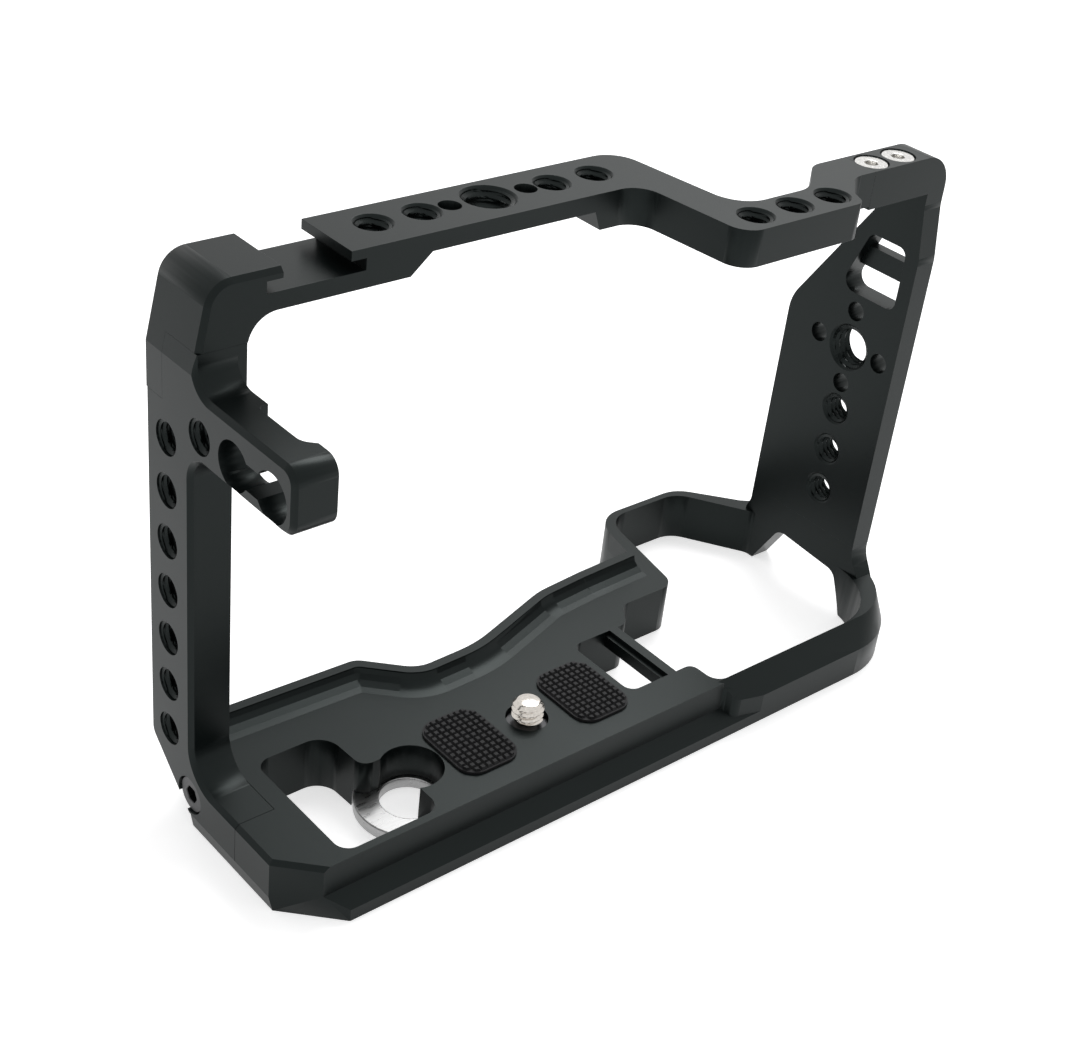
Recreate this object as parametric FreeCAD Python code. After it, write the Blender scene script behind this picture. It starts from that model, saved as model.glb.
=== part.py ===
import FreeCAD, Part
import math
import os

# Camera cage in black anodised aluminium: a base plate with a loop round the grip,
# a left bracket with a cable arm, a top bar with a shoe, and a right plate.
# X runs to the grip side, Y to the lens side, Z up. Sizes are in millimetres.
# Heights are from the underside of the base, X from the outer face of the left
# bracket, and Y from the row that the camera screw stands on.

V = FreeCAD.Vector

# Overall
cage_width = 161.0
base_rear = -16.8
loop_front = 47.2
bar_top = 108.0
edge_break = 0.85

# Threads, as the holes that take them
quarter_inch = 6.35
quarter_mouth = 7.2
three_eighths = 9.525
three_eighths_mouth = 10.4
locating_hole = 4.2
locating_radius = 8.4
hole_pitch = 10.0

# Base plate
base_thick = 11.2
base_wall_rear = -13.3
flange_lip = 2.6
groove_top = 4.8
rear_cut = 8.5
strip_inner = -12.2
strip_width_top = 0.1
corner_inner = 16.0
side_undercut = 0.55
front_edge = 30.8
lip_height = 2.8
lip_width = 2.0
lip_fillet = 4.6
lip_rise = 0.55
lip_steps = 4
lip_least_round = 0.5
lens_bow_left = 39.0
lens_bow_right = 89.0
lens_bow_depth = 9.9
lens_bow_centre = 56.5

# Loop round the grip
loop_wall = 1.6
loop_side_wall = 2.1
loop_left = 119.0
loop_left_lean = 5.2
loop_heel = 18.2
loop_round = 6.5

# Window beside the pads, with its low bar
window_left = 85.2
window_near = -5.0
window_far = 12.8
window_round = 2.4
neck_x = 102.0
bar_left = 94.5
bar_wide = 3.2
bar_deep = 3.6
bar_groove_wide = 1.0
bar_groove_deep = 1.0

# Cutout over the stored tool
cutout_left = 11.8
cutout_right = 33.0
cutout_waist = 27.2
cutout_near = -11.7
cutout_far = 16.6
cutout_round = 3.0
pocket_x = 35.3
pocket_y = 0.3
pocket_radius = 6.1
pocket_join = 4.9

# Camera screw, its clip and the pads beside it
screw_x = 62.6
screw_tip = 15.3
screw_tip_break = 0.8
screw_neck = 4.9
screw_groove = 3.8
screw_recess = 8.4
screw_recess_deep = 3.2
web_bottom = 5.0
head_pocket = 16.0
head_width = 14.0
head_thick = 2.6
head_slot_wide = 1.6
head_slot_deep = 1.2
running_gap = 0.05
screw_fit = 0.1
clip_width = 8.0
clip_thick = 0.6
clip_play = 1.4
pad_offset = 14.1
pad_wide = 13.2
pad_long = 17.0
pad_round = 3.8
pad_thick = 1.8
pad_proud = 0.5

# Ring screwdriver stored under the base
tool_x = 35.0
tool_ring_outer = 10.4
tool_ring_inner = 5.6
tool_thick = 2.4
tool_depth = 1.6
tool_blade_wide = 7.0
tool_blade_end = 53.0
tool_tip_thick = 0.9
tool_tip_long = 5.0
tool_gap = 0.3
magnet_wide = 4.0
magnet_thick = 2.0
magnet_back = 5.5

# Left bracket
bracket_thick = 8.0
column_rear = 19.1
column_front = 32.0
column_holes_y = 26.25
column_top_hole = 78.0
column_hole_count = 7
foot_rear = 4.3
foot_bottom = 3.0
foot_fit = 0.1
foot_round = 7.0
toe_cut = 11.0
extra_hole_back = 10.2
extra_hole_up = 5.2
arm_bottom = 78.2
arm_top = 90.4
arm_end = -10.4
arm_round = 3.0
arm_waist = 6.0
arm_waist_from = -3.0
arm_waist_to = 9.0
keyhole_near = 6.2
keyhole_far = -4.4
keyhole_z = 83.0
keyhole_wide = 8.6
keyhole_channel = 4.6
shoulder_bottom = 87.0
seam_low = 84.7
seam_high = 96.5
seam_step = 27.3
joint_screw_y = 19.4
joint_screw_z = 7.2
joint_screw = 4.0
joint_head = 7.0
joint_head_bore = 7.5
joint_head_deep = 4.4
joint_head_thick = 4.0
joint_screw_long = 16.0
joint_hex = 3.0

# Top bar
bar_rear = 17.9
bar_front = 32.3
bar_holes_y = 25.8
bar_middle_x = 63.1
bar_hole_inner = 14.35
bar_hole_outer = 24.35
shoe_floor = 104.1
shoe_under_lip = 106.2
shoe_left = 13.2
shoe_wide = 18.8
shoe_lip = 3.0
relief_under = 104.6
relief_from = 45.5
relief_to = 81.5
relief_ramp = 5.5
relief_y = 24.6
bar_under = 100.9
scallop_count = 3
scallop_rise = 1.8
side_lean_from = 93.0
side_lean = 3.2
top_round = 5.0
shoulder_inner = 9.8
bend_front_x = 100.0
bend_rear_x = 93.2
tail_rear = -7.1
tail_front = 2.5
tail_right = 124.2
tail_holes_x = 101.2
tail_holes_y = -1.9
tongue_left = 127.6
tongue_rear = 2.3
tongue_front = 10.4
tongue_thick = 3.6
tongue_end = 153.0

# Right plate with its flange
plate_thick = 5.1
plate_bottom = 17.7
plate_rear = 0.8
plate_front = 31.5
flange_left = 138.2
flange_thick = 7.8
flange_wall = 1.6
plate_round = 7.0
plate_inner_round = 3.0
plate_hole_y = 13.4
plate_hole_z = 61.5
plate_first_hole = 14.8
plate_hole_count = 3
slope_low = 66.0
slope_high = 95.5
slope_top_y = 12.3
strap_bottom = 73.7
strap_top = 87.5
strap_rear = 4.2
strap_front = 19.0
strap_bar_low = 79.2
strap_bar_high = 83.6
strap_bar_thick = 2.6
flange_screw_x = 141.4
flange_screw_pitch = 7.8
flange_screw = 4.0
flange_head = 6.6
flange_head_bore = 7.0
flange_head_deep = 1.6
flange_head_thick = 1.4
flange_hex = 2.5

# Joint between upstand and right plate, and the hidden joint at the shoe block
seam_pin = 3.0
seam_pin_long = 10.4
arch_top = 10.8
arch_front = 28.6
arch_rear = 0.0
lap_screw = 4.0
lap_screw_z = 90.6
lap_screw_long = 12.0

# Values that follow from those above
plate_inner = cage_width - plate_thick
window_bar_right = bar_left + bar_wide
shoe_right = shoe_left + shoe_wide
origin_shift = V(-cage_width / 2, -(base_rear + loop_front) / 2, 0)


def place(axis, a, b, c):
    """A point from its two coordinates in a plane and its height over the plane."""
    if axis == "z":
        return V(a, b, c)
    if axis == "x":
        return V(c, a, b)
    return V(a, c, b)


def outline(points, axis, level):
    """A closed wire through (a, b, radius) corners, rounded by tangent arcs."""
    edges = []
    spots = [place(axis, p[0], p[1], level) for p in points]
    starts = []
    ends = []
    arcs = []
    for i, p in enumerate(points):
        here = spots[i]
        before = spots[i - 1] - here
        after = spots[(i + 1) % len(spots)] - here
        radius = p[2] if len(p) > 2 else 0
        if radius == 0:
            starts.append(here)
            ends.append(here)
            arcs.append(None)
            continue
        before.normalize()
        after.normalize()
        half = before.getAngle(after) / 2
        back = radius / math.tan(half)
        middle = before + after
        middle.normalize()
        centre = here + middle * (radius / math.sin(half))
        starts.append(here + before * back)
        ends.append(here + after * back)
        arcs.append(centre - middle * radius)
    for i in range(len(points)):
        if arcs[i] is not None:
            edges.append(Part.Arc(starts[i], arcs[i], ends[i]).toShape())
        following = starts[(i + 1) % len(points)]
        if (following - ends[i]).Length > 1e-6:
            edges.append(Part.LineSegment(ends[i], following).toShape())
    return Part.Wire(edges)


def prism(points, axis, low, high):
    """A solid with a rounded outline between two levels of an axis."""
    face = Part.Face(outline(points, axis, low))
    return face.extrude(place(axis, 0, 0, high - low))


def box(x0, x1, y0, y1, z0, z1):
    return Part.makeBox(x1 - x0, y1 - y0, z1 - z0, V(x0, y0, z0))


def rod(diameter, axis, a, b, low, high):
    """A cylinder along an axis at (a, b) of the plane across it."""
    direction = place(axis, 0, 0, 1)
    return Part.makeCylinder(diameter / 2, high - low, place(axis, a, b, low), direction)


def mouthed_hole(diameter, mouth, axis, a, b, face, back):
    """A through hole from a face to the back, with a chamfered mouth at the face."""
    deep = (mouth - diameter) / 2
    into = 1 if back > face else -1
    direction = place(axis, 0, 0, into)
    bore = rod(diameter, axis, a, b, min(face, back) - 1, max(face, back) + 1)
    cone = Part.makeCone(mouth / 2, diameter / 2, deep, place(axis, a, b, face), direction)
    return bore.fuse(cone)


def quarter_hole(axis, a, b, face, back):
    return mouthed_hole(quarter_inch, quarter_mouth, axis, a, b, face, back)


def three_eighths_hole(axis, a, b, face, back):
    return mouthed_hole(three_eighths, three_eighths_mouth, axis, a, b, face, back)


def hex_socket(across, axis, a, b, low, high):
    """A hexagonal prism for a key, across its flats."""
    radius = across / math.sqrt(3)
    corners = []
    for i in range(6):
        turn = math.radians(60 * i)
        corners.append((a + radius * math.cos(turn), b + radius * math.sin(turn)))
    return prism(corners, axis, low, high)


def edges_at(shape, test):
    """The edges whose two ends and middle all pass a test."""
    found = []
    for edge in shape.Edges:
        spots = [v.Point for v in edge.Vertexes]
        middle = edge.valueAt((edge.FirstParameter + edge.LastParameter) / 2)
        if all(test(p) for p in spots + [middle]):
            found.append(edge)
    return found


def lens_bow():
    """The front edge of the base, drawn back where the lens barrel passes."""
    deep = front_edge - lens_bow_depth
    return [
        (lens_bow_right + 12, front_edge - 1.2, 8),
        (lens_bow_right, front_edge - 2.2, 20),
        (lens_bow_centre + 10, deep + 0.4, 30),
        (lens_bow_centre - 4.5, deep, 7),
        (lens_bow_left + 4, front_edge - 1.2, 4),
    ]


def loop_outer():
    """The outside of the grip loop, from the right plate round to the lens lip."""
    slant = loop_left + loop_left_lean
    return [
        (cage_width, plate_front + 1.0, 1.5),
        (cage_width - 4.0, plate_front + 3.9, 3),
        (plate_inner - 9.2, loop_front, loop_round + loop_wall),
        (slant - loop_side_wall, loop_front, loop_round + loop_wall),
        (loop_left - loop_side_wall + 1.3, front_edge - 0.3, 1),
    ]


def loop_inner():
    """The opening of the grip loop and of the window beside it, as one outline."""
    slant = loop_left + loop_left_lean
    return [
        (window_left, window_near, window_round),
        (neck_x, window_near, 1.8),
        (neck_x + 0.3, strip_inner, 3.0),
        (plate_inner, strip_inner, corner_inner),
        (plate_inner, plate_front - 1.4, 3),
        (plate_inner - 10.5, loop_front - loop_wall, loop_round),
        (slant, loop_front - loop_wall, loop_round),
        (loop_left, loop_heel, 4),
        (neck_x + 1.9, loop_heel, 3.6),
        (neck_x - 1.7, window_far, 3.2),
        (window_left, window_far, window_round),
    ]


def base_outline(rear):
    """The outside of the base at one setting of its rear face."""
    side = -(rear_cut - 1.9)
    outer_round = corner_inner + (strip_inner - rear) * 0.75
    return [
        (0, side),
        (side - rear, rear),
        (cage_width, rear, outer_round),
    ] + loop_outer() + lens_bow() + [
        (bracket_thick, front_edge),
        (bracket_thick, column_rear),
        (0, column_rear),
    ]


def base_block():
    """The plate and the loop, with the clamp groove along the rear."""
    upper = prism(base_outline(base_wall_rear), "z", 0, base_thick)
    broken = edges_at(upper, lambda p: abs(p.z - base_thick) < 1e-6
                      and (p.y < foot_rear + 16 and p.x < neck_x)
                      and not (p.x > bracket_thick - 1 and p.y > column_rear - 1))
    broken = [e for e in broken if e.BoundBox.YMin < column_rear - 1]
    upper = upper.makeChamfer(edge_break, broken)
    flange = prism(base_outline(base_rear), "z", 0, groove_top)
    ledge_in = base_wall_rear - base_rear
    ledge_drop = groove_top - flange_lip
    slope = prism([
        (base_rear - 1, flange_lip - ledge_drop / ledge_in),
        (base_wall_rear, groove_top),
        (base_wall_rear, groove_top + 1),
        (base_rear - 1, groove_top + 1),
    ], "x", -1, neck_x + 11.5)
    flange = flange.cut(slope)
    strip_outer = strip_inner - strip_width_top
    slope_start = base_thick - (strip_outer - base_rear)
    side_wall = prism(base_outline(base_rear), "z", 0, slope_start)
    side_slope = Part.makeLoft([
        outline(base_outline(base_rear), "z", slope_start),
        outline(base_outline(strip_outer), "z", base_thick),
    ], True, True)
    side_wall = side_wall.fuse(side_slope)
    blend = prism([
        (cage_width + 1, base_rear - 1),
        (cage_width + 1, loop_front + 1),
        (neck_x, loop_front + 1),
        (neck_x, base_wall_rear + 1.4, 1.5),
        (neck_x + 1.8, base_wall_rear - 0.6, 2.0),
        (neck_x + 3.2, base_rear + 0.9, 2.5),
        (neck_x + 11, base_rear - 0.1),
        (neck_x + 11, base_rear - 1),
    ], "z", -1, base_thick + 1)
    side_wall = side_wall.common(blend)
    return upper.cut(blend).fuse([flange, side_wall])


def inset(points, distance):
    """The same open line moved to its right by a distance, its rounds kept concentric."""
    moved = []
    for i, p in enumerate(points):
        here = V(p[0], p[1], 0)
        before = here - V(*points[i - 1][:2], 0) if i else None
        after = V(*points[i + 1][:2], 0) - here if i + 1 < len(points) else None
        sides = []
        for way in (before, after):
            if way is not None:
                way.normalize()
                sides.append(V(way.y, -way.x, 0))
        normal = sides[0] + sides[-1]
        spot = here + normal * (distance / (1 + sides[0].dot(sides[-1])))
        if len(p) < 3:
            moved.append((spot.x, spot.y))
            continue
        turn = before.cross(after).z
        radius = p[2] + distance if turn > 0 else p[2] - distance
        moved.append((spot.x, spot.y, max(radius, lip_least_round)))
    return moved


def lens_lip():
    """The raised lip along the front of the base, with its hollow foot."""
    front = [(bracket_thick, front_edge)]
    front += list(reversed(lens_bow()))
    front.append((loop_left - 3, front_edge - 0.6))
    inner = list(reversed(inset(front, lip_width)))
    top = base_thick + lip_height
    lip = prism(front + inner, "z", base_thick - 1, top)
    wires = []
    for i in range(lip_steps + 1):
        angle = math.pi / 2 * i / lip_steps
        reach = lip_fillet * (1 - math.sin(angle))
        rise = lip_fillet * (1 - math.cos(angle)) * lip_rise
        toe = list(reversed(inset(front, lip_width + reach + 0.02)))
        wires.append(outline(front + toe, "z", base_thick - 0.02 + rise))
    foot = Part.makeLoft(wires, True, True)
    return lip.fuse(foot)


def upstand():
    """The wall at the right end that carries the right plate."""
    side = prism([
        (plate_rear - 8, base_thick - 7),
        (plate_front + 1, base_thick - 7),
        (plate_front + 1, base_thick + 0.5, 0.8),
        (plate_front, base_thick + 3, 3),
        (plate_front, plate_bottom),
        (plate_rear, plate_bottom),
        (plate_rear, plate_bottom - 2.5, 6),
        (plate_rear - 3.4, base_thick - 0.6, 8),
    ], "x", plate_inner, cage_width)
    return side.common(prism(base_outline(base_rear), "z", 0, plate_bottom))


def side_arch():
    """The opening under the upstand, through the right wall."""
    return prism([
        (arch_rear, -1),
        (arch_rear + 4.6, arch_top - 1.4, 3),
        (arch_front - 6.8, arch_top, 3),
        (arch_front, -1),
    ], "x", plate_inner - 1.5, cage_width + 1)


def tool_pocket(grow, top):
    """The space of the stored tool, larger than it by the gap."""
    ring = rod(2 * (tool_ring_outer + grow), "z", tool_x, 0, -1, top)
    shaft = box(tool_x, tool_blade_end + grow, -tool_blade_wide / 2 - grow,
                tool_blade_wide / 2 + grow, -1, top)
    return ring.fuse(shaft)


def base_plate():
    body = base_block()
    body = body.fuse([lens_lip(), upstand()])
    opening = prism(loop_inner(), "z", -1, base_thick + lip_height + 1)
    body = body.cut(opening)
    bar_low = base_thick - bar_deep
    low_bar = box(bar_left, window_bar_right, window_near - 1, window_far + 1,
                  bar_low, base_thick)
    groove = box(bar_left - 1, bar_left + bar_groove_wide, window_near, window_far,
                 base_thick - bar_groove_deep, base_thick + 1)
    body = body.fuse(low_bar.cut(groove))
    cutout = prism([
        (cutout_left, cutout_near, cutout_round),
        (cutout_right, cutout_near, cutout_round),
        (cutout_right, pocket_y + pocket_join),
        (cutout_waist + 0.5, pocket_y + pocket_join, 2.5),
        (cutout_waist, cutout_far, 4.5),
        (cutout_left, cutout_far, cutout_round),
    ], "z", -1, base_thick + 1)
    round_pocket = rod(2 * pocket_radius, "z", pocket_x, pocket_y, -1, base_thick + 1)
    foot_pocket = box(-1, bracket_thick + foot_fit, foot_rear - foot_fit, front_edge + 1,
                      foot_bottom, base_thick + lip_height + 1)
    undercut = prism([
        (-1, -1),
        (side_undercut * (1 + 1 / foot_bottom), -1),
        (0, foot_bottom),
        (-1, foot_bottom),
    ], "y", base_rear - 1, column_rear + 1)
    body = body.cut([cutout, round_pocket, foot_pocket, undercut, side_arch()])
    tool_top = tool_depth + tool_thick + 2 * running_gap
    body = body.cut(tool_pocket(tool_gap, tool_top))
    magnet_top = tool_top + magnet_thick
    body = body.cut(rod(magnet_wide, "z", magnet_x(), 0, tool_top - 1, magnet_top))
    body = body.cut([
        rod(head_pocket, "z", screw_x, 0, -1, web_bottom),
        rod(screw_neck + 2 * running_gap, "z", screw_x, 0, 0, base_thick + 1),
        rod(screw_recess, "z", screw_x, 0, base_thick - screw_recess_deep, base_thick + 1),
    ])
    for side in (-1, 1):
        body = body.cut(pad_blank(side, base_thick - pad_thick + pad_proud, base_thick + 1))
    body = body.cut(rod(seam_pin + screw_fit, "z", *seam_pin_place(), arch_top - 1,
                        plate_bottom + 1))
    screw_end = bracket_thick + joint_screw_long
    body = body.cut(rod(joint_screw + screw_fit, "x", joint_screw_y, joint_screw_z, 0, screw_end))
    return body.removeSplitter()


def pad_blank(side, low, high):
    middle = screw_x + side * pad_offset
    x0 = middle - pad_wide / 2
    x1 = middle + pad_wide / 2
    y0 = -pad_long / 2
    y1 = pad_long / 2
    return prism([
        (x0, y0, pad_round),
        (x1, y0, pad_round),
        (x1, y1, pad_round),
        (x0, y1, pad_round),
    ], "z", low, high)


def rubber_pad(side):
    bottom = base_thick - pad_thick + pad_proud
    return pad_blank(side, bottom, base_thick + pad_proud)


def camera_screw():
    """The slotted captive screw that holds the camera."""
    head_top = web_bottom - running_gap
    head = rod(head_width, "z", screw_x, 0, head_top - head_thick, head_top)
    slot = box(screw_x - head_width, screw_x + head_width, -head_slot_wide / 2,
               head_slot_wide / 2, head_top - head_thick - 1, head_top - head_thick + head_slot_deep)
    groove_bottom = base_thick - screw_recess_deep + clip_play - running_gap
    groove_top = groove_bottom + clip_thick + 2 * running_gap
    neck = rod(screw_neck, "z", screw_x, 0, head_top, groove_bottom)
    groove = rod(screw_groove, "z", screw_x, 0, groove_bottom, groove_top)
    thread = rod(quarter_inch, "z", screw_x, 0, groove_top, screw_tip - screw_tip_break)
    tip = Part.makeCone(quarter_inch / 2, quarter_inch / 2 - screw_tip_break, screw_tip_break,
                        V(screw_x, 0, screw_tip - screw_tip_break))
    return head.cut(slot).fuse([neck, groove, thread, tip]).removeSplitter()


def screw_clip():
    """The spring clip in the screw's groove, which keeps it in the base."""
    bottom = base_thick - screw_recess_deep + clip_play
    ring = rod(clip_width, "z", screw_x, 0, bottom, bottom + clip_thick)
    bore = rod(screw_groove + 2 * running_gap, "z", screw_x, 0, bottom - 1, bottom + 2)
    gap = box(screw_x, screw_x + clip_width, -1.2, 1.2, bottom - 1, bottom + 2)
    return ring.cut([bore, gap])


def ring_screwdriver():
    """The flat screwdriver with a ring handle, stored under the base."""
    top = tool_depth + tool_thick
    ring = rod(2 * tool_ring_outer, "z", tool_x, 0, tool_depth, top)
    shaft = box(tool_x, tool_blade_end, -tool_blade_wide / 2, tool_blade_wide / 2,
                tool_depth, top)
    body = ring.fuse(shaft)
    hole = rod(2 * tool_ring_inner, "z", tool_x, 0, 0, top + 1)
    wedge = prism([
        (tool_blade_end - tool_tip_long, tool_depth - 0.01),
        (tool_blade_end + 1, tool_depth - 0.01),
        (tool_blade_end + 1, top - tool_tip_thick),
        (tool_blade_end, top - tool_tip_thick),
    ], "y", -tool_blade_wide, tool_blade_wide)
    return body.cut([hole, wedge]).removeSplitter()


def magnet_x():
    return tool_blade_end - magnet_back


def tool_magnet():
    """The disc magnet over the blade, which holds the tool in its pocket."""
    bottom = tool_depth + tool_thick + 2 * running_gap
    return rod(magnet_wide, "z", magnet_x(), 0, bottom, bottom + magnet_thick)


def left_bracket():
    """The left upright, its foot in the base and its cable arm to the rear."""
    profile = [
        (column_front, foot_bottom + toe_cut, 2.5),
        (column_front - toe_cut - 1.4, foot_bottom),
        (foot_rear, foot_bottom),
        (foot_rear, base_thick),
        (column_rear, base_thick, foot_round),
        (column_rear, arm_bottom, 4.6),
        (arm_end, arm_bottom, arm_round),
        (arm_end, arm_top, arm_round),
        (bar_rear, arm_top, 4.6),
        (bar_rear, seam_high),
        (seam_step, seam_high),
        (seam_step, seam_low),
        (column_front, seam_low),
    ]
    body = prism(profile, "x", 0, bracket_thick)
    outer = edges_at(body, lambda p: abs(p.x) < 1e-6 and p.z > foot_bottom + 0.1
                     and p.z < seam_high - 0.1 and p.y < column_front - 0.5)
    outer = [e for e in outer if not (e.BoundBox.YLength < 0.01 and e.BoundBox.YMin < foot_rear + 0.1
                                      and e.BoundBox.ZMax < base_thick + 0.1)]
    outer = [e for e in outer if e.BoundBox.YMin < seam_step - 0.1
             and not (abs(e.BoundBox.YMax - seam_step) < 0.01 and e.BoundBox.YLength < 0.01)]
    body = body.makeChamfer(edge_break, outer)
    shoulder = box(bracket_thick - 0.01, shoulder_inner, bar_rear, column_front,
                   shoulder_bottom, seam_high)
    shoulder = shoulder.common(prism(profile, "x", 0, shoulder_inner + 1))
    body = body.fuse(shoulder)
    waist = Part.Face(outline([
        (bracket_thick + 3, arm_waist_from - 4.5),
        (arm_waist, arm_waist_from, 3),
        (arm_waist, arm_waist_to, 1),
        (bracket_thick + 3, arm_waist_to),
    ], "z", arm_bottom - 1)).extrude(V(0, 0, arm_top - arm_bottom + 2))
    body = body.cut(waist)
    body = body.cut(side_lean_cut())
    for i in range(column_hole_count):
        z = column_top_hole - i * hole_pitch
        body = body.cut(rod(quarter_inch, "x", column_holes_y, z, -1, bracket_thick + 1))
    extra_y = column_holes_y - extra_hole_back
    extra_z = column_top_hole + extra_hole_up
    body = body.cut(rod(quarter_inch, "x", extra_y, extra_z, -1, bracket_thick + 1))
    body = body.cut(lap_screw_bores())
    low = -1
    high = bracket_thick + 3
    half = keyhole_channel / 2
    body = body.cut([
        rod(keyhole_wide, "x", keyhole_near, keyhole_z, low, high),
        rod(keyhole_wide, "x", keyhole_far, keyhole_z, low, high),
        box(low, high, keyhole_far, keyhole_near, keyhole_z - half, keyhole_z + half),
        rod(joint_screw + screw_fit, "x", joint_screw_y, joint_screw_z, low, high),
        rod(joint_head_bore, "x", joint_screw_y, joint_screw_z, low, joint_head_deep),
    ])
    return body.removeSplitter()


def cap_screw(diameter, head, head_long, length, across):
    """A socket head screw along +X, its head's top at the origin."""
    body = rod(head, "x", 0, 0, 0, head_long)
    shank = rod(diameter, "x", 0, 0, head_long - 0.01, head_long + length)
    key = hex_socket(across, "x", 0, 0, -1, head_long * 0.6)
    return body.fuse(shank).cut(key).removeSplitter()


def base_joint_screw():
    screw = cap_screw(joint_screw, joint_head, joint_head_thick,
                      bracket_thick + joint_screw_long - joint_head_deep - 0.5, joint_hex)
    screw.translate(V(joint_head_deep - joint_head_thick, joint_screw_y, joint_screw_z))
    return screw


def lap_screw_bores():
    """The holes for the screw through the block's front face into the bracket."""
    x = shoulder_inner / 2
    return [
        rod(lap_screw + screw_fit, "y", x, lap_screw_z, bar_front - lap_screw_long, bar_front + 1),
        rod(flange_head_bore, "y", x, lap_screw_z, bar_front - flange_head_deep, bar_front + 1),
    ]


def lap_joint_screw():
    """The screw that joins the bar's block to the bracket, from the front."""
    x = shoulder_inner / 2
    seat = bar_front - flange_head_deep
    top = seat + flange_head_thick
    head = rod(flange_head, "y", x, lap_screw_z, seat, top)
    shank = rod(lap_screw, "y", x, lap_screw_z, bar_front - lap_screw_long, seat)
    key = hex_socket(flange_hex, "y", x, lap_screw_z, top - flange_head_thick * 0.8, top + 1)
    return head.fuse(shank).cut(key).removeSplitter()


def side_lean_cut():
    """What the leaning outer side takes off above the knee."""
    reach = bar_top - side_lean_from
    return prism([
        (-1, side_lean_from),
        (0, side_lean_from),
        (side_lean, side_lean_from + reach),
        (-1, side_lean_from + reach),
    ], "y", arm_end - 1, bar_front + 1)


def shoe_block():
    """The left end of the bar: the block, the shoe floor and the shoe's left lip."""
    section = [
        (0, seam_low),
        (0, side_lean_from),
        (side_lean, bar_top, top_round),
        (shoe_left + shoe_lip, bar_top),
        (shoe_left + shoe_lip, shoe_under_lip),
        (shoe_left, shoe_under_lip),
        (shoe_left, shoe_floor),
        (shoe_right + 4, shoe_floor),
        (shoe_right + 4, bar_under),
        (shoulder_inner, bar_under, 5.5),
        (shoulder_inner, seam_low),
    ]
    body = prism(section, "y", bar_rear, bar_front)
    outer = edges_at(body, lambda p: abs(p.y - bar_rear) < 1e-6 and p.x < side_lean + 0.1
                     and p.z > seam_high - 12.5)
    body = body.makeChamfer(edge_break, outer)
    lap = box(-1, shoulder_inner + 5, bar_rear - 1, seam_step, seam_low - 1, seam_high)
    return body.cut([lap] + lap_screw_bores())


def bar_plan():
    """The outline of the bar's flat part, seen from above."""
    return [
        (shoe_right - shoe_lip, bar_rear),
        (bend_rear_x - 1.6, bar_rear, 5.0),
        (bend_rear_x + 0.6, tail_rear, 4.6),
        (tail_right, tail_rear, 2.6),
        (tail_right + 1.8, tail_front - 5.6, 3.2),
        (tongue_left + 4.6, tongue_rear, 5.0),
        (flange_left, tongue_rear),
        (flange_left, tongue_front),
        (tongue_left + 1.4, tongue_front, 5.5),
        (tail_right - 4.4, tail_front, 7.0),
        (bend_front_x + 1.8, tail_front, 7.0),
        (bend_front_x - 1.6, bar_front, 6.0),
        (shoe_right - shoe_lip, bar_front),
    ]


def scallops():
    """The cuts along the underside that clear the camera's hump."""
    cuts = [box(relief_from, relief_to, bar_rear - 1, relief_y, bar_under - 5, relief_under)]
    for start, lean in ((relief_from, -relief_ramp), (relief_to, relief_ramp * 0.35)):
        cuts.append(prism([
            (start, relief_under),
            (start, bar_under - 1),
            (start + lean, bar_under - 1),
        ], "y", bar_rear - 1, relief_y))
    span = (relief_to - relief_from) / scallop_count
    for i in range(scallop_count):
        a = relief_from + i * span
        cuts.append(prism([
            (a + 1, bar_under - 1),
            (a + 2.5, bar_under + scallop_rise, 1.2),
            (a + span - 2.5, bar_under + scallop_rise, 1.2),
            (a + span - 1, bar_under - 1),
        ], "y", relief_y - 1, bar_front + 1))
    return cuts


def top_bar():
    body = prism(bar_plan(), "z", bar_under, bar_top)
    rail_cut = box(shoe_right - shoe_lip - 1, shoe_right, bar_rear - 1, bar_front + 1,
                   shoe_floor, shoe_under_lip)
    body = body.fuse(shoe_block())
    body = body.cut(rail_cut)
    body = body.cut(scallops())
    tongue = box(flange_left, tongue_end, tongue_rear + flange_wall, tongue_front,
                 bar_top - flange_thick, bar_top - flange_thick + tongue_thick)
    body = body.fuse(tongue)
    for step in (-bar_hole_outer, -bar_hole_inner, bar_hole_inner, bar_hole_outer):
        body = body.cut(quarter_hole("z", bar_middle_x + step, bar_holes_y, bar_top, bar_under))
    body = body.cut(three_eighths_hole("z", bar_middle_x, bar_holes_y, bar_top, bar_under))
    for side in (-1, 1):
        x = bar_middle_x + side * locating_radius
        body = body.cut(rod(locating_hole, "z", x, bar_holes_y, bar_under - 1, bar_top + 1))
    for i in range(3):
        x = tail_holes_x + i * hole_pitch
        body = body.cut(quarter_hole("z", x, tail_holes_y, bar_top, bar_under))
    for x in flange_screw_places():
        screw_y = flange_screw_y()
        body = body.cut([
            rod(flange_screw + screw_fit, "z", x, screw_y, bar_under - 2, bar_top + 1),
            rod(flange_head_bore, "z", x, screw_y, bar_top - flange_head_deep, bar_top + 1),
        ])
    return body.removeSplitter()


def flange_screw_places():
    return [flange_screw_x, flange_screw_x + flange_screw_pitch]


def flange_screw_y():
    return (tongue_rear + tongue_front) / 2


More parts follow.
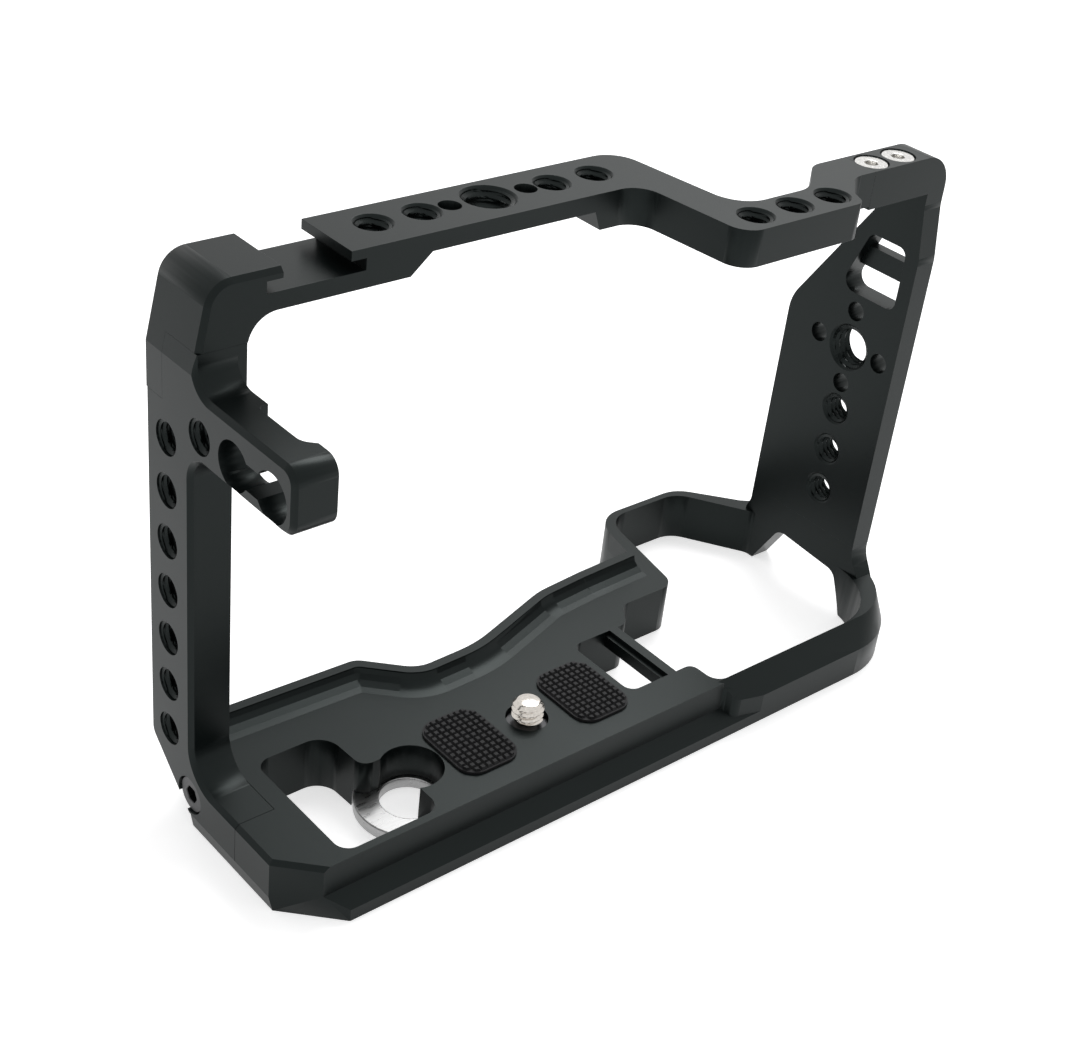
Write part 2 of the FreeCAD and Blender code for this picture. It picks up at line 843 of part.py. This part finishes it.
def right_plate():
    """The right upright with its strap slot and the flange over the bar's tongue."""
    side = [
        (plate_rear, plate_bottom),
        (plate_front, plate_bottom),
        (plate_front - 0.3, slope_low, 10),
        (slope_top_y, slope_high, 12),
        (tongue_front, bar_top - flange_thick),
        (tongue_front, bar_top),
        (tongue_rear, bar_top),
        (tongue_rear, bar_top - flange_thick - 3, 8),
        (plate_rear, bar_top - 22, 12),
    ]
    upright = prism(side, "x", plate_inner, cage_width)
    flange = box(flange_left, cage_width, tongue_rear, tongue_front,
                 bar_top - flange_thick, bar_top)
    corner = prism([
        (flange_left - 1, bar_top),
        (flange_left - 1, plate_bottom - 1),
        (cage_width, plate_bottom - 1),
        (cage_width, bar_top, plate_round),
    ], "y", plate_rear - 1, plate_front + 1)
    body = upright.fuse(flange).common(corner)
    recess = box(flange_left - 1, tongue_end, tongue_rear + flange_wall, tongue_front + 1,
                 bar_top - flange_thick - 1, bar_top - flange_thick + tongue_thick)
    body = body.cut(recess)
    strap = [
        (strap_rear, strap_bottom, 2.0),
        (strap_front, strap_bottom, 2.6),
        (strap_front - 5.4, strap_top, 2.0),
        (strap_rear, strap_top, 2.0),
    ]
    slot = prism(strap, "x", plate_inner - 1, cage_width + 1)
    bar = box(cage_width - strap_bar_thick, cage_width, strap_rear - 1, strap_front + 1,
              strap_bar_low, strap_bar_high)
    body = body.cut(slot.cut(bar))
    y = plate_hole_y
    body = body.cut(three_eighths_hole("x", y, plate_hole_z, plate_inner, cage_width))
    for dy, dz in ((1, 0), (-1, 0), (0, 1), (0, -1)):
        body = body.cut(rod(locating_hole, "x", y + dy * locating_radius,
                            plate_hole_z + dz * locating_radius, plate_inner - 1,
                            cage_width + 1))
    for i in range(plate_hole_count):
        z = plate_hole_z - plate_first_hole - i * hole_pitch
        body = body.cut(quarter_hole("x", y, z, plate_inner, cage_width))
    for x in flange_screw_places():
        screw_y = flange_screw_y()
        body = body.cut([
            rod(flange_screw + screw_fit, "z", x, screw_y, bar_top - flange_thick - 1, bar_top + 1),
            rod(flange_head_bore, "z", x, screw_y, bar_top - flange_head_deep, bar_top + 1),
        ])
    body = body.cut(rod(seam_pin + screw_fit, "z", *seam_pin_place(), plate_bottom - 1,
                        arch_top + seam_pin_long))
    return body.removeSplitter()


def flange_screws():
    """The two hex socket screws that join the bar to the right plate."""
    screws = []
    bottom = bar_top - flange_thick
    top = bar_top - flange_head_deep + flange_head_thick
    for x in flange_screw_places():
        y = flange_screw_y()
        head = rod(flange_head, "z", x, y, top - flange_head_thick, top)
        shank = rod(flange_screw, "z", x, y, bottom, top - flange_head_thick)
        key = hex_socket(flange_hex, "z", x, y, top - flange_head_thick * 0.8, top + 1)
        screws.append(head.fuse(shank).cut(key).removeSplitter())
    return Part.makeCompound(screws)


def seam_pin_place():
    return plate_inner + plate_thick / 2, (plate_rear + plate_front) / 2


def upstand_pin():
    """The pin that joins the upstand and the right plate."""
    return rod(seam_pin, "z", *seam_pin_place(), arch_top + 0.4, arch_top + seam_pin_long)


def build():
    return {
        "base_plate": base_plate(),
        "left_bracket": left_bracket(),
        "top_bar": top_bar(),
        "right_plate": right_plate(),
        "rubber_pad_left": rubber_pad(-1),
        "rubber_pad_right": rubber_pad(1),
        "camera_screw": camera_screw(),
        "camera_screw_clip": screw_clip(),
        "ring_screwdriver": ring_screwdriver(),
        "tool_magnet": tool_magnet(),
        "base_joint_screw": base_joint_screw(),
        "lap_joint_screw": lap_joint_screw(),
        "flange_screws": flange_screws(),
        "upstand_pin": upstand_pin(),
    }


os.makedirs("parts", exist_ok=True)
for name, shape in build().items():
    shape.translate(origin_shift)
    shape.exportStep("parts/" + name + ".step")
    print(name, shape.isValid(), len(shape.Solids), round(shape.Volume, 1))
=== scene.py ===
import math

import bmesh
import bpy
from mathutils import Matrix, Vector


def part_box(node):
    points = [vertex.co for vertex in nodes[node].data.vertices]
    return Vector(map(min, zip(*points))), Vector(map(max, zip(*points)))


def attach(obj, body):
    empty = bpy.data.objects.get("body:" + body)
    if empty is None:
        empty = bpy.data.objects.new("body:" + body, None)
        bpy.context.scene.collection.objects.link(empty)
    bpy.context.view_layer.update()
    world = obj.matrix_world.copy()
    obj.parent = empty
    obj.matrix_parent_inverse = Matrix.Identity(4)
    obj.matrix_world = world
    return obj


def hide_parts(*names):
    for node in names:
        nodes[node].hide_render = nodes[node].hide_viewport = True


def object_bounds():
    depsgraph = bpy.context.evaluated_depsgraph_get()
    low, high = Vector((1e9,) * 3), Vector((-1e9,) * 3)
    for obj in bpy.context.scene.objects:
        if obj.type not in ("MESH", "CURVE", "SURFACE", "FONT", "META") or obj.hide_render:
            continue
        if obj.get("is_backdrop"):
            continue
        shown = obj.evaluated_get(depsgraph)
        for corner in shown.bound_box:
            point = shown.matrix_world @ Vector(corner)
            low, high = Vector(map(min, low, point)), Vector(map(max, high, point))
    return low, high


# Metres, in the frame of the solids: X to the grip side, Y to the lens side, Z up.

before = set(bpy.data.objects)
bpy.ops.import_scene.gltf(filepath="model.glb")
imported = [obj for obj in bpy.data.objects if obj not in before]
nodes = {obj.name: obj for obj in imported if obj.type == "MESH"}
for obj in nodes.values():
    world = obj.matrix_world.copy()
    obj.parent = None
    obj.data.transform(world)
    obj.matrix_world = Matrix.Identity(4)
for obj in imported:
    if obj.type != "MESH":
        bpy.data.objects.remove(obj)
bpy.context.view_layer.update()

mm = 0.001
plate_low, plate_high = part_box("right_plate")
bracket_low, bracket_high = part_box("left_bracket")
bar_low, bar_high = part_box("top_bar")
left = bracket_low.x
right = plate_high.x

# Threads: outer diameter, pitch and depth of each kind
quarter = {"outer": 6.35 * mm, "pitch": 1.27 * mm, "deep": 0.70 * mm}
three_eighths = {"outer": 9.525 * mm, "pitch": 1.5875 * mm, "deep": 0.8 * mm}
hole_step = 10 * mm
mouth_deep = 0.43 * mm
thread_segments = 40
thread_rows = 6
flank_rise = 1.25
root_flat = 0.12


def link(name, mesh):
    piece = bpy.data.objects.new(name, mesh)
    bpy.context.scene.collection.objects.link(piece)
    return piece


def grid_mesh(name, rows):
    """A mesh through equal rows of points, each row closed into a ring."""
    work = bmesh.new()
    rings = [[work.verts.new(p) for p in row] for row in rows]
    for low, high in zip(rings, rings[1:]):
        for i in range(len(low)):
            j = (i + 1) % len(low)
            work.faces.new((low[i], low[j], high[j], high[i]))
    mesh = bpy.data.meshes.new(name)
    work.to_mesh(mesh)
    work.free()
    for face in mesh.polygons:
        face.use_smooth = False
    return mesh


def helix_radius(turn, height, thread, inward):
    """The radius of a V thread at a height, after part of a turn."""
    phase = (height / thread["pitch"] - turn) % 1.0
    wave = abs(2 * phase - 1)
    crest = min(1.0, max(0.0, flank_rise * wave - root_flat))
    root = thread["outer"] / 2
    return root - thread["deep"] * (crest if inward else 1 - crest)


def thread_sleeve(name, thread, centre, axis, low, high):
    """The thread of a hole, as one sleeve between two depths along the axis."""
    turn_to = Vector((0, 0, 1)).rotation_difference(Vector(axis)).to_matrix()
    count = max(4, int((high - low) / thread["pitch"] * thread_rows))
    rows = []
    for r in range(count + 1):
        height = low + (high - low) * r / count
        row = []
        for s in range(thread_segments):
            turn = s / thread_segments
            radius = helix_radius(turn, height, thread, True)
            if r == 0:
                radius = thread["outer"] / 2
            angle = 2 * math.pi * turn
            spot = Vector((radius * math.cos(angle), radius * math.sin(angle), height))
            row.append(Vector(centre) + turn_to @ spot)
        rows.append(row)
    piece = link(name, grid_mesh(name, rows))
    piece.data.materials.append(thread_black)
    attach(piece, "cage")


# Surfaces: scales of their noise, depths of their grain, and how they gloss
cloud_scale = 32
blasted_scale = 6500
metal_scale = 2600
rubber_scale = 2400
fine_grain = 0.03 * mm
rubber_grain = 0.05 * mm
anodised_gloss = 0.2
teal_gloss = (0.86, 1.0, 0.98, 1)
rubber_gloss = 0.25
rubber_dark = (0.008, 0.008, 0.009, 1)
rubber_light = (0.022, 0.022, 0.023, 1)


def new_material(name):
    made = bpy.data.materials.new(name)
    made.use_nodes = True
    tree = made.node_tree
    shader = tree.nodes["Principled BSDF"]
    return made, tree, shader


def object_noise(tree, scale, detail):
    where = tree.nodes.new("ShaderNodeTexCoord")
    noise = tree.nodes.new("ShaderNodeTexNoise")
    noise.inputs["Scale"].default_value = scale
    noise.inputs["Detail"].default_value = detail
    tree.links.new(where.outputs["Object"], noise.inputs["Vector"])
    return noise.outputs["Fac"]


def ramp(tree, value, low, high, a=0.3, b=0.7):
    """A value between two stops, as an even change from low to high."""
    node = tree.nodes.new("ShaderNodeMapRange")
    node.inputs["From Min"].default_value = a
    node.inputs["From Max"].default_value = b
    node.inputs["To Min"].default_value = low
    node.inputs["To Max"].default_value = high
    tree.links.new(value, node.inputs["Value"])
    return node.outputs["Result"]


def mix_colours(tree, value, first, second):
    node = tree.nodes.new("ShaderNodeMix")
    node.data_type = "RGBA"
    node.inputs["A"].default_value = first
    node.inputs["B"].default_value = second
    tree.links.new(value, node.inputs["Factor"])
    return node.outputs["Result"]


def add_bump(tree, shader, height, strength, distance):
    bump = tree.nodes.new("ShaderNodeBump")
    bump.inputs["Strength"].default_value = strength
    bump.inputs["Distance"].default_value = distance
    tree.links.new(height, bump.inputs["Height"])
    tree.links.new(bump.outputs["Normal"], shader.inputs["Normal"])


def anodised(name, tint, rough):
    """Satin black anodising over a fine blasted grain, slightly cloudy."""
    made, tree, shader = new_material(name)
    cloud = object_noise(tree, cloud_scale, 3)
    grain = object_noise(tree, blasted_scale, 2)
    dark = (tint[0] * 0.85, tint[1] * 0.85, tint[2] * 0.85, 1)
    light = (tint[0] * 1.2, tint[1] * 1.2, tint[2] * 1.2, 1)
    tree.links.new(mix_colours(tree, ramp(tree, cloud, 0, 1), dark, light),
                   shader.inputs["Base Color"])
    tree.links.new(ramp(tree, cloud, rough - 0.02, rough + 0.03), shader.inputs["Roughness"])
    shader.inputs["Metallic"].default_value = 0.0
    shader.inputs["IOR"].default_value = 1.5
    shader.inputs["Specular IOR Level"].default_value = anodised_gloss
    shader.inputs["Specular Tint"].default_value = teal_gloss
    add_bump(tree, shader, grain, 0.12, fine_grain)
    return made


def plain_metal(name, colour, rough, lines=False):
    """Bright metal with a fine grain, drawn out along X where it is brushed."""
    made, tree, shader = new_material(name)
    shader.inputs["Metallic"].default_value = 1.0
    grain = object_noise(tree, metal_scale, 3)
    if lines:
        noise = grain.node
        stretch = tree.nodes.new("ShaderNodeMapping")
        stretch.inputs["Scale"].default_value = (0.12, 1, 1)
        where = noise.inputs["Vector"].links[0].from_socket
        tree.links.new(where, stretch.inputs["Vector"])
        tree.links.new(stretch.outputs["Vector"], noise.inputs["Vector"])
    darker = (colour[0] * 0.82, colour[1] * 0.82, colour[2] * 0.82, 1)
    tree.links.new(mix_colours(tree, ramp(tree, grain, 0, 1), darker, (*colour, 1)),
                   shader.inputs["Base Color"])
    tree.links.new(ramp(tree, grain, rough - 0.05, rough + 0.08), shader.inputs["Roughness"])
    add_bump(tree, shader, grain, 0.12, fine_grain)
    return made


def rubber(name):
    made, tree, shader = new_material(name)
    grain = object_noise(tree, rubber_scale, 3)
    colour = mix_colours(tree, ramp(tree, grain, 0, 1), rubber_dark, rubber_light)
    tree.links.new(colour, shader.inputs["Base Color"])
    tree.links.new(ramp(tree, grain, 0.55, 0.72), shader.inputs["Roughness"])
    shader.inputs["Specular IOR Level"].default_value = rubber_gloss
    add_bump(tree, shader, grain, 0.3, rubber_grain)
    return made


weld_reach = 0.002 * mm
flat_angle = math.radians(0.4)
sharp_angle = math.radians(32)
frame_round = 0.22 * mm
tool_round = 0.25 * mm
screw_round = 0.2 * mm


def soften(node, width, flatten=True):
    """Small rounds on the sharp edges of a solid, over flat faces joined into one."""
    weld = node.modifiers.new("weld", "WELD")
    weld.merge_threshold = weld_reach
    if flatten:
        planar = node.modifiers.new("planar", "DECIMATE")
        planar.decimate_type = "DISSOLVE"
        planar.angle_limit = flat_angle
    bevel = node.modifiers.new("edges", "BEVEL")
    bevel.width = width
    bevel.segments = 2
    bevel.limit_method = "ANGLE"
    bevel.angle_limit = sharp_angle
    bevel.harden_normals = True
    bevel.miter_outer = "MITER_ARC"
    bevel.use_clamp_overlap = True


def paint(name, material):
    node = nodes[name]
    if not node.data.materials:
        node.data.materials.append(material)
    for i in range(len(node.data.materials)):
        node.data.materials[i] = material
    for face in node.data.polygons:
        face.material_index = 0


black = anodised("black_anodised", (0.0028, 0.0042, 0.0042), 0.34)
thread_black = anodised("black_thread", (0.0045, 0.006, 0.006), 0.24)
pad_rubber = rubber("black_rubber")
nickel = plain_metal("nickel_steel", (0.70, 0.66, 0.61), 0.16)
steel = plain_metal("polished_steel", (0.40, 0.40, 0.40), 0.30, lines=True)
bright_screw = plain_metal("bright_screw", (0.72, 0.71, 0.69), 0.2)
dark_steel = plain_metal("black_steel", (0.06, 0.06, 0.062), 0.34)

for name in ("base_plate", "left_bracket", "top_bar", "right_plate"):
    paint(name, black)
    soften(nodes[name], frame_round, flatten=name != "base_plate")
paint("rubber_pad_left", pad_rubber)
paint("rubber_pad_right", pad_rubber)
paint("camera_screw_clip", dark_steel)
paint("ring_screwdriver", steel)
soften(nodes["ring_screwdriver"], tool_round)
paint("tool_magnet", nickel)
paint("base_joint_screw", dark_steel)
soften(nodes["base_joint_screw"], screw_round)
paint("lap_joint_screw", dark_steel)
soften(nodes["lap_joint_screw"], screw_round)
paint("flange_screws", bright_screw)
soften(nodes["flange_screws"], screw_round)
paint("upstand_pin", dark_steel)


# Threads of the left bracket: a column of holes and one beside it
bracket_thick = 8 * mm
column_count = 7
column_y = bracket_high.y - 5.75 * mm
top_hole = 78 * mm
arm_hole_back = 10.2 * mm
arm_hole_up = 5.2 * mm
inward = (1, 0, 0)
for i in range(column_count):
    thread_sleeve("column_thread_%d" % (i + 1), quarter,
                  (left, column_y, top_hole - i * hole_step), inward, mouth_deep, bracket_thick)
thread_sleeve("arm_thread", quarter, (left, column_y - arm_hole_back, top_hole + arm_hole_up),
              inward, mouth_deep, bracket_thick)

# Threads of the top bar: five over the camera, which is thinner inside, and three in its tail
bar_top = bar_high.z
bar_thin = 3.3 * mm
bar_thick = 7.1 * mm
bar_y = bar_high.y - 6.5 * mm
middle_x = left + 63.1 * mm
inner_step = 14.35 * mm
outer_step = 24.35 * mm
down = (0, 0, -1)
for i, (step, deep) in enumerate(((-outer_step, bar_thick), (-inner_step, bar_thin),
                                  (inner_step, bar_thin), (outer_step, bar_thick))):
    thread_sleeve("bar_thread_%d" % (i + 1), quarter, (middle_x + step, bar_y, bar_top),
                  down, mouth_deep, deep)
thread_sleeve("bar_middle_thread", three_eighths, (middle_x, bar_y, bar_top), down,
              mouth_deep, bar_thin)
tail_x = left + 101.2 * mm
tail_y = bar_low.y + 5.2 * mm
for i in range(3):
    thread_sleeve("tail_thread_%d" % (i + 1), quarter, (tail_x + i * hole_step, tail_y, bar_top),
                  down, mouth_deep, bar_thick)

# Threads of the right plate: a large one with three small ones under it
plate_thick = 5.1 * mm
plate_x = right - plate_thick
plate_y = plate_low.y + 12.6 * mm
plate_hole_z = 61.5 * mm
first_hole_down = 14.8 * mm
thread_sleeve("plate_middle_thread", three_eighths, (plate_x, plate_y, plate_hole_z), inward,
              mouth_deep, plate_thick)
for i in range(3):
    thread_sleeve("plate_thread_%d" % (i + 1), quarter,
                  (plate_x, plate_y, plate_hole_z - first_hole_down - i * hole_step), inward,
                  mouth_deep, plate_thick)


def studded_pad(name):
    """Square studs with sloping sides over the whole top of a pad."""
    low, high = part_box(name)
    corner = 3.8 * mm
    edge = 0.25 * mm
    pitch = 1.41 * mm
    foot = pitch * 0.46
    head = pitch * 0.27
    tall = 0.5 * mm
    sunk = 0.05 * mm
    most_drawn_in = pitch * 0.3
    centre = (low + high) / 2
    half_x = (high.x - low.x) / 2 - edge
    half_y = (high.y - low.y) / 2 - edge
    columns = round(half_x * 2 / pitch)
    lines = round(half_y * 2 / pitch)

    def inside(x, y):
        """A point of the pad's top, drawn in to the rounded outline."""
        dx = max(-half_x, min(half_x, x - centre.x))
        dy = max(-half_y, min(half_y, y - centre.y))
        over = Vector((abs(dx) - (half_x - corner), abs(dy) - (half_y - corner)))
        if over.x > 0 and over.y > 0 and over.length > corner:
            over *= corner / over.length
            dx = math.copysign(half_x - corner + over.x, dx)
            dy = math.copysign(half_y - corner + over.y, dy)
        return centre.x + dx, centre.y + dy

    work = bmesh.new()
    for c in range(columns):
        for r in range(lines):
            x = centre.x + (c - (columns - 1) / 2) * 2 * half_x / columns
            y = centre.y + (r - (lines - 1) / 2) * 2 * half_y / lines
            near_x, near_y = inside(x, y)
            if math.hypot(near_x - x, near_y - y) > most_drawn_in:
                continue
            ring = []
            for half, z in ((foot, high.z - sunk), (head, high.z + tall)):
                corners = [inside(x + a * half, y + b * half)
                           for a, b in ((-1, -1), (1, -1), (1, 1), (-1, 1))]
                ring.append([work.verts.new((px, py, z)) for px, py in corners])
            for i in range(4):
                j = (i + 1) % 4
                work.faces.new((ring[0][i], ring[0][j], ring[1][j], ring[1][i]))
            work.faces.new(ring[1])
    mesh = bpy.data.meshes.new(name + "_studs")
    work.to_mesh(mesh)
    work.free()
    piece = link(name + "_studs", mesh)
    piece.data.materials.append(pad_rubber)
    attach(piece, "cage")


studded_pad("rubber_pad_left")
studded_pad("rubber_pad_right")


screw_segments = 48
screw_rows = 14


def ring_of(x, y, z, radius_at):
    """A ring of points about an axis, its radius a function of the part of a turn."""
    ring = []
    for s in range(screw_segments):
        turn = s / screw_segments
        angle = 2 * math.pi * turn
        radius = radius_at(turn)
        ring.append(Vector((x + radius * math.cos(angle), y + radius * math.sin(angle), z)))
    return ring


def screw_rings(x, y, slot_top, head_radius, tip):
    """The rings of the screw, from its slot up to the tip."""
    head_top = 4.95 * mm
    head_break = 0.3 * mm
    neck = 2.45 * mm
    groove = 1.9 * mm
    groove_low = 9.35 * mm
    groove_high = 10.05 * mm
    neck_top = 11.0 * mm
    outer = quarter["outer"] / 2
    rings = []
    for radius, z in (
        (head_radius - head_break, slot_top),
        (head_radius, slot_top),
        (head_radius, head_top - head_break),
        (head_radius - head_break, head_top),
        (neck, head_top),
        (neck, groove_low),
        (groove, groove_low),
        (groove, groove_high),
        (neck, groove_high),
        (neck, neck_top),
    ):
        rings.append(ring_of(x, y, z, lambda turn: radius))
    start = neck_top + 0.05 * mm
    end = tip - 0.15 * mm
    tip_cone = 1.1 * mm
    tip_slope = 0.9
    run_in_rows = 3
    run_in_deep = 0.62 * mm
    count = int((end - start) / quarter["pitch"] * screw_rows)
    for r in range(count + 1):
        z = start + (end - start) * r / count
        most = min(outer - max(0, (z - (tip - tip_cone)) * tip_slope),
                   outer - run_in_deep if r < run_in_rows else outer)
        rings.append(ring_of(x, y, z,
                             lambda turn: min(helix_radius(turn, z, quarter, False), most)))
    centre = Vector((x, y, 0))
    rings.append([Vector((centre.x + (p.x - centre.x) * 0.85,
                          centre.y + (p.y - centre.y) * 0.85, tip)) for p in rings[-1]])
    return rings


def slotted_half(work, x, y, side, radius, half_slot, low, high):
    """One half of the head beside the slot, as a closed block under the head."""
    reach = math.asin(half_slot / radius)
    steps = 24
    outline = []
    for s in range(steps + 1):
        angle = reach + (math.pi - 2 * reach) * s / steps
        outline.append((x + radius * math.cos(angle), y + side * radius * math.sin(angle)))
    bottom = [work.verts.new((px, py, low)) for px, py in outline]
    top = [work.verts.new((px, py, high)) for px, py in outline]
    work.faces.new(bottom)
    for i in range(len(outline)):
        j = (i + 1) % len(outline)
        work.faces.new((bottom[i], bottom[j], top[j], top[i]))


def camera_screw():
    """The camera screw with its thread, slot and captive neck, as one mesh."""
    low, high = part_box("camera_screw")
    x = (low.x + high.x) / 2
    y = (low.y + high.y) / 2
    head_radius = 7 * mm
    slot_top = low.z + 1.2 * mm
    half_slot = 0.8 * mm
    overlap = 0.01 * mm
    mesh = grid_mesh("camera_screw_threaded", screw_rings(x, y, slot_top, head_radius, high.z))
    work = bmesh.new()
    work.from_mesh(mesh)
    work.verts.ensure_lookup_table()
    first = [work.verts[i] for i in range(screw_segments)]
    last = [work.verts[len(work.verts) - screw_segments + i] for i in range(screw_segments)]
    work.faces.new(first[::-1])
    work.faces.new(last)
    for side in (-1, 1):
        slotted_half(work, x, y, side, head_radius, half_slot, low.z, slot_top + overlap)
    bmesh.ops.recalc_face_normals(work, faces=work.faces)
    work.to_mesh(mesh)
    work.free()
    for face in mesh.polygons:
        face.use_smooth = True
    mesh.set_sharp_from_angle(angle=math.radians(40))
    piece = link("camera_screw_threaded", mesh)
    piece.data.materials.append(nickel)
    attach(piece, "screw")
    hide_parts("camera_screw")


camera_screw()


def background_ray(tree):
    """1 for a ray that shows the background: from the camera, a gloss or a clear body."""
    path = tree.nodes.new("ShaderNodeLightPath")
    seen = path.outputs["Is Camera Ray"]
    for kind in ("Is Glossy Ray", "Is Transmission Ray"):
        either = tree.nodes.new("ShaderNodeMath")
        either.operation = "MAXIMUM"
        tree.links.new(seen, either.inputs[0])
        tree.links.new(path.outputs[kind], either.inputs[1])
        seen = either.outputs["Value"]
    return seen


def pale_stage(lift_strength):
    """A pale floor that keeps the shadow and reads as white to the camera."""
    made, tree, shader = new_material("pale_floor")
    shader.inputs["Base Color"].default_value = (0.86, 0.86, 0.865, 1)
    shader.inputs["Roughness"].default_value = 0.9
    shader.inputs["Specular IOR Level"].default_value = 0.1
    lift = tree.nodes.new("ShaderNodeMath")
    lift.operation = "MULTIPLY"
    lift.inputs[1].default_value = lift_strength
    tree.links.new(background_ray(tree), lift.inputs[0])
    shader.inputs["Emission Color"].default_value = (1, 1, 1, 1)
    tree.links.new(lift.outputs["Value"], shader.inputs["Emission Strength"])
    size = 3.0
    mesh = bpy.data.meshes.new("floor")
    z = min(corner.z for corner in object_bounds())
    mesh.from_pydata([(-size, -size, z), (size, -size, z), (size, size, z), (-size, size, z)],
                     [], [(0, 1, 2, 3)])
    floor = link("floor", mesh)
    floor.data.materials.append(made)
    floor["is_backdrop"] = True


bright_side = Vector((0.45, 0.55, 0.70))
dim_until = -0.35
bright_from = 0.75


def white_world(bright, dim):
    """White to the camera; to the part a room that is bright on its far side and above."""
    world = bpy.data.worlds.new("white")
    bpy.context.scene.world = world
    world.use_nodes = True
    tree = world.node_tree
    tree.nodes.clear()
    out = tree.nodes.new("ShaderNodeOutputWorld")
    back = tree.nodes.new("ShaderNodeBackground")
    where = tree.nodes.new("ShaderNodeTexCoord")
    toward = tree.nodes.new("ShaderNodeVectorMath")
    toward.operation = "DOT_PRODUCT"
    toward.inputs[1].default_value = bright_side.normalized()
    tree.links.new(where.outputs["Generated"], toward.inputs[0])
    room = tree.nodes.new("ShaderNodeMapRange")
    room.interpolation_type = "SMOOTHSTEP"
    room.inputs["From Min"].default_value = dim_until
    room.inputs["From Max"].default_value = bright_from
    room.inputs["To Min"].default_value = dim
    room.inputs["To Max"].default_value = bright
    tree.links.new(toward.outputs["Value"], room.inputs["Value"])
    pick = tree.nodes.new("ShaderNodeMapRange")
    pick.inputs["To Max"].default_value = 1.0
    tree.links.new(background_ray(tree), pick.inputs["Value"])
    tree.links.new(room.outputs["Result"], pick.inputs["To Min"])
    tree.links.new(pick.outputs["Result"], back.inputs["Strength"])
    back.inputs["Color"].default_value = (1, 1, 1, 1)
    tree.links.new(back.outputs["Background"], out.inputs["Surface"])


def soft_lamp(name, where, aim, size, power):
    data = bpy.data.lights.new(name, "AREA")
    data.shape = "DISK"
    data.size = size
    data.energy = power
    lamp = bpy.data.objects.new(name, data)
    lamp.location = where
    lamp.rotation_mode = "QUATERNION"
    lamp.rotation_quaternion = (Vector(where) - Vector(aim)).to_track_quat("Z", "Y")
    bpy.context.scene.collection.objects.link(lamp)


# The camera that was fitted to the centres of the holes in the photograph
camera_place = (-0.21085, -0.21549, 0.22948)
camera_turn = (57.0304, -5.8256, -40.0198)
camera_lens = 61.02
camera_sensor = 36
camera_shift = (-0.0037, 0.01513)


def photo_camera():
    """The camera at the place that the photograph was taken from."""
    data = bpy.data.cameras.new("camera")
    data.sensor_width = camera_sensor
    data.lens = camera_lens
    data.shift_x, data.shift_y = camera_shift
    data.clip_start = 0.01
    data.clip_end = 20
    camera = bpy.data.objects.new("camera", data)
    camera.location = camera_place
    camera.rotation_euler = [math.radians(angle) for angle in camera_turn]
    bpy.context.scene.collection.objects.link(camera)
    bpy.context.scene.camera = camera


pale_stage(lift_strength=0.6)
white_world(bright=0.8, dim=0.2)
soft_lamp("key", where=(0.34, 0.22, 0.60), aim=(0, 0, 0.03), size=0.42, power=2.5)
photo_camera()
bpy.context.scene.view_settings.view_transform = "Standard"
